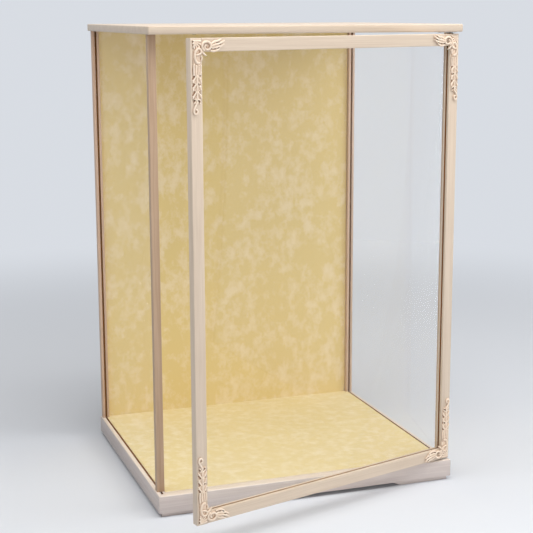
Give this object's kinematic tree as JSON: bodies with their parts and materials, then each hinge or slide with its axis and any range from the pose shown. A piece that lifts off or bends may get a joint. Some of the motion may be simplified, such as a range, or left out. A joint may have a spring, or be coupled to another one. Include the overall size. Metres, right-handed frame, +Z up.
{
  "type": "doll display case",
  "caption": "Glazed display cabinet for a standing doll: box base on a recessed plinth, posts, glass sides, lined back and floor, and a framed glass door on pivot pins.",
  "frame": {"origin": "centre of the lined display floor's top face, where the figure stands; the table is 35.4 mm below it", "axes": "+X to the case's right seen from the front, +Y to the back, +Z up; the door closes the -Y side and is stored ajar at 16.6 degrees"},
  "size_m": [0.505, 0.5703, 0.748],
  "materials": {
    "cream_paint": "satin cream paint on board",
    "post_paint": "satin beige paint on wood",
    "ornament_paint": "cast resin painted cream with darker recesses",
    "lining_paper": "matt mottled gold and cream paper",
    "plywood": "bare plywood",
    "beech": "bare beech dowel",
    "glass": "clear float glass",
    "steel": "bright zinc plate",
    "brass": "turned brass",
    "magnet": "dark ferrite",
    "nylon": "white nylon"
  },
  "bodies": {
    "case": {"base_front_rail": "cream_paint", "base_right_rail": "cream_paint", "base_rear_rail": "cream_paint", "base_left_rail": "cream_paint", "plinth_right_rail": "cream_paint", "plinth_rear_rail": "cream_paint", "plinth_left_rail": "cream_paint", "plinth_foot_left": "cream_paint", "plinth_foot_right": "cream_paint", "floor_board": "plywood", "floor_lining": "lining_paper", "post_front_left": "post_paint", "post_front_right": "post_paint", "post_rear_left": "post_paint", "post_rear_right": "post_paint", "side_glass_left": "glass", "side_glass_right": "glass", "back_panel": "plywood", "back_lining": "lining_paper", "back_pin_left_1": "steel", "back_pin_left_2": "steel", "back_pin_left_3": "steel", "back_pin_right_1": "steel", "back_pin_right_2": "steel", "back_pin_right_3": "steel", "post_screw_front_left": "steel", "post_dowel_front_left": "beech", "post_screw_front_right": "steel", "post_dowel_front_right": "beech", "post_screw_rear_left": "steel", "post_dowel_rear_left": "beech", "post_screw_rear_right": "steel", "post_dowel_rear_right": "beech", "pivot_plate_lower": "steel", "pivot_plate_upper": "steel", "pivot_screw_lower_1": "steel", "pivot_screw_upper_1": "steel", "pivot_screw_lower_2": "steel", "pivot_screw_upper_2": "steel", "pivot_washer": "nylon", "catch_magnet": "magnet", "top_board": "cream_paint"},
    "door": {"door_stile_free": "cream_paint", "door_stile_hinge": "cream_paint", "door_rail_top": "cream_paint", "door_rail_bottom": "cream_paint", "door_glass": "glass", "pivot_bush_lower": "brass", "pivot_bush_upper": "brass", "strike_screw": "steel", "ornament_top_left": "ornament_paint", "ornament_top_right": "ornament_paint", "ornament_bottom_left": "ornament_paint", "ornament_bottom_right": "ornament_paint"}
  },
  "joints": [
    {"name": "door_swing", "type": "hinge", "parent": "case", "child": "door", "pos_m": [0.242, -0.204, 0.35], "axis": [0, 0, 1], "range_deg": [-16.6, 93.4]}
  ]
}
